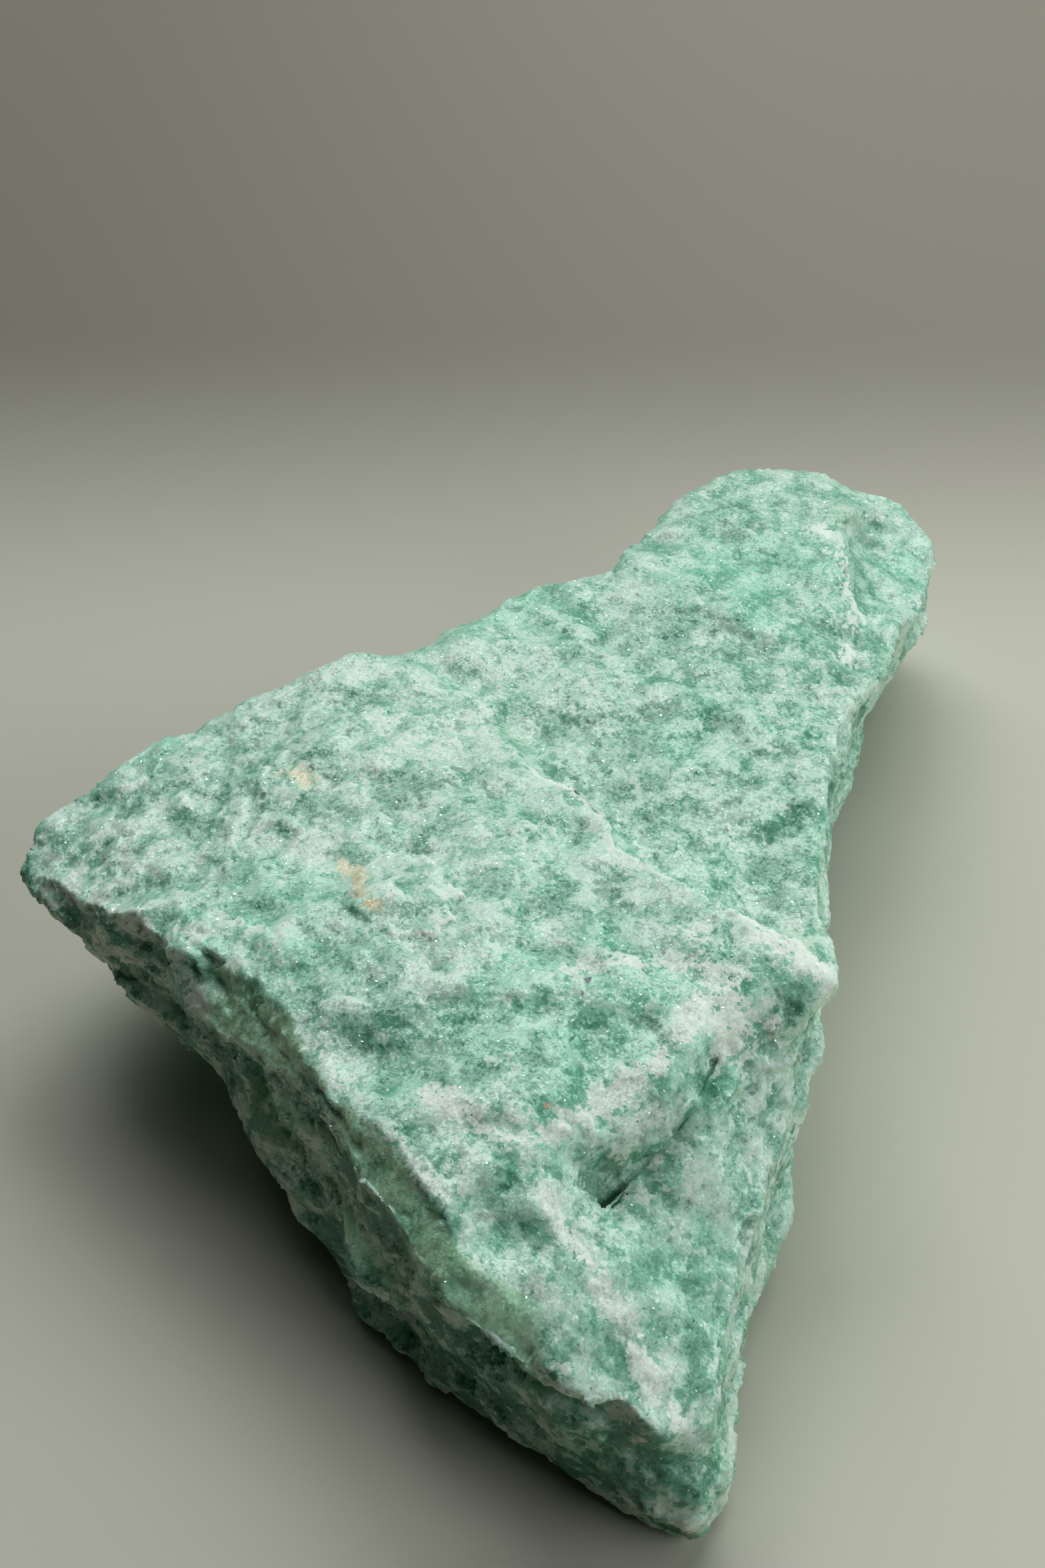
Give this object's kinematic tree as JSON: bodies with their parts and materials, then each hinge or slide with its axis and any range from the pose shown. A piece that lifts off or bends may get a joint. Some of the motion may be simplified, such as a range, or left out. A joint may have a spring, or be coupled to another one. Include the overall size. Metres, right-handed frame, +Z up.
{
  "type": "raw green aventurine stone",
  "caption": "Rough block of green aventurine with a stepped, nearly flat top, steep layered sides, a scooped corner and a tapering tail, lying on a flat broken face.",
  "frame": {"origin": "under the middle of the stone's box, on the surface it rests on", "axes": "+Z up from the resting face, +Y along the stone's longest way towards its tail, +X towards its right side"},
  "size_m": [0.2256, 0.3048, 0.0642],
  "materials": {
    "aventurine": "raw broken quartzite, mottled mint to deep green, frosted white where bruised, small mica glints"
  },
  "bodies": {
    "root": {"aventurine": "aventurine"}
  },
  "joints": []
}
